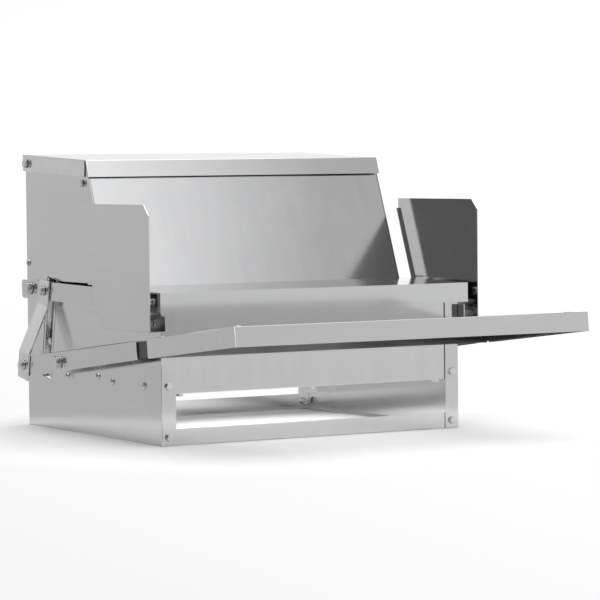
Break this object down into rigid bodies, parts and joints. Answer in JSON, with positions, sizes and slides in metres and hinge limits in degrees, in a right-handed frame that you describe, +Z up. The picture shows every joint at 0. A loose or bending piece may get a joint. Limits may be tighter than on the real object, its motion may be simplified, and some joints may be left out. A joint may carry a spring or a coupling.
{
  "type": "treadle poultry feeder",
  "caption": "Free-standing sheet-metal poultry feeder with a hopper, a hinged roof and a trough lid that a foot treadle opens through side links.",
  "frame": {"origin": "on the ground, under the middle of the whole feeder", "axes": "+Y towards the back, away from the treadle pan; +X to the right seen from the front; +Z up"},
  "size_m": [0.4748, 0.5876, 0.3326],
  "materials": {
    "zinc_sheet": "smooth galvanised sheet, semi-gloss",
    "fastener_steel": "zinc-plated, satin"
  },
  "bodies": {
    "housing": {"front_panel": "zinc_sheet", "front_bottom_rail": "zinc_sheet", "back_panel": "zinc_sheet", "back_bottom_rail": "zinc_sheet", "hopper_front_panel": "zinc_sheet", "feed_chute": "zinc_sheet", "trough_floor": "zinc_sheet", "side_panel_left": "zinc_sheet", "guide_channel_left": "zinc_sheet", "wing_left": "zinc_sheet", "wing_bolt_left_front": "fastener_steel", "wing_bolt_left_rear": "fastener_steel", "channel_bolt_left": "fastener_steel", "lid_pivot_bolt_left": "fastener_steel", "treadle_pivot_bolt_left": "fastener_steel", "roof_hinge_bolt_left": "fastener_steel", "hopper_bolt_left": "fastener_steel", "front_bolt_left_top": "fastener_steel", "front_bolt_left_bottom": "fastener_steel", "back_bolt_left_top": "fastener_steel", "back_bolt_left_bottom": "fastener_steel", "side_panel_right": "zinc_sheet", "guide_channel_right": "zinc_sheet", "wing_right": "zinc_sheet", "wing_bolt_right_front": "fastener_steel", "wing_bolt_right_rear": "fastener_steel", "channel_bolt_right": "fastener_steel", "lid_pivot_bolt_right": "fastener_steel", "treadle_pivot_bolt_right": "fastener_steel", "roof_hinge_bolt_right": "fastener_steel", "hopper_bolt_right": "fastener_steel", "front_bolt_right_top": "fastener_steel", "front_bolt_right_bottom": "fastener_steel", "back_bolt_right_top": "fastener_steel", "back_bolt_right_bottom": "fastener_steel"},
    "roof": {"roof_lid": "zinc_sheet"},
    "lid": {"trough_lid": "zinc_sheet", "lid_arm_left": "zinc_sheet", "lid_bolt_left_front": "fastener_steel", "lid_bolt_left_rear": "fastener_steel", "link_upper_bolt_left": "fastener_steel", "lid_arm_right": "zinc_sheet", "lid_bolt_right_front": "fastener_steel", "lid_bolt_right_rear": "fastener_steel", "link_upper_bolt_right": "fastener_steel"},
    "treadle": {"treadle_tray": "zinc_sheet", "treadle_arm_left": "zinc_sheet", "treadle_rail_left": "zinc_sheet", "tray_bolt_left_front": "fastener_steel", "tray_bolt_left_rear": "fastener_steel", "link_lower_bolt_left": "fastener_steel", "treadle_arm_right": "zinc_sheet", "treadle_rail_right": "zinc_sheet", "tray_bolt_right_front": "fastener_steel", "tray_bolt_right_rear": "fastener_steel", "link_lower_bolt_right": "fastener_steel"},
    "strap_left": {"link_left": "zinc_sheet"},
    "strap_right": {"link_right": "zinc_sheet"}
  },
  "joints": [
    {"name": "treadle_pivot", "type": "hinge", "parent": "housing", "child": "treadle", "pos_m": [0, 0.13934, 0.0863], "axis": [1, 0, 0], "range_deg": [0, 15]},
    {"name": "lid_pivot", "type": "hinge", "parent": "housing", "child": "lid", "pos_m": [0, 0.26234, 0.1697], "axis": [-1, 0, 0], "range_deg": [0, 36.2]},
    {"name": "link_pivot_left", "type": "hinge", "parent": "treadle", "child": "strap_left", "pos_m": [-0.2295, 0.23534, 0.0776], "axis": [1, 0, 0], "range_deg": [-19, 0]},
    {"name": "link_pivot_right", "type": "hinge", "parent": "treadle", "child": "strap_right", "pos_m": [0.2295, 0.23534, 0.0776], "axis": [1, 0, 0], "range_deg": [-19, 0]},
    {"name": "roof_hinge", "type": "hinge", "parent": "housing", "child": "roof", "pos_m": [0, 0.28235, 0.322], "axis": [-1, 0, 0], "range_deg": [0, 90]}
  ],
  "couplings": [
    {"joint": "lid_pivot", "follows": "treadle_pivot", "ratio": 2.4075},
    {"joint": "link_pivot_left", "follows": "treadle_pivot", "ratio": -1.265},
    {"joint": "link_pivot_right", "follows": "treadle_pivot", "ratio": -1.265}
  ]
}
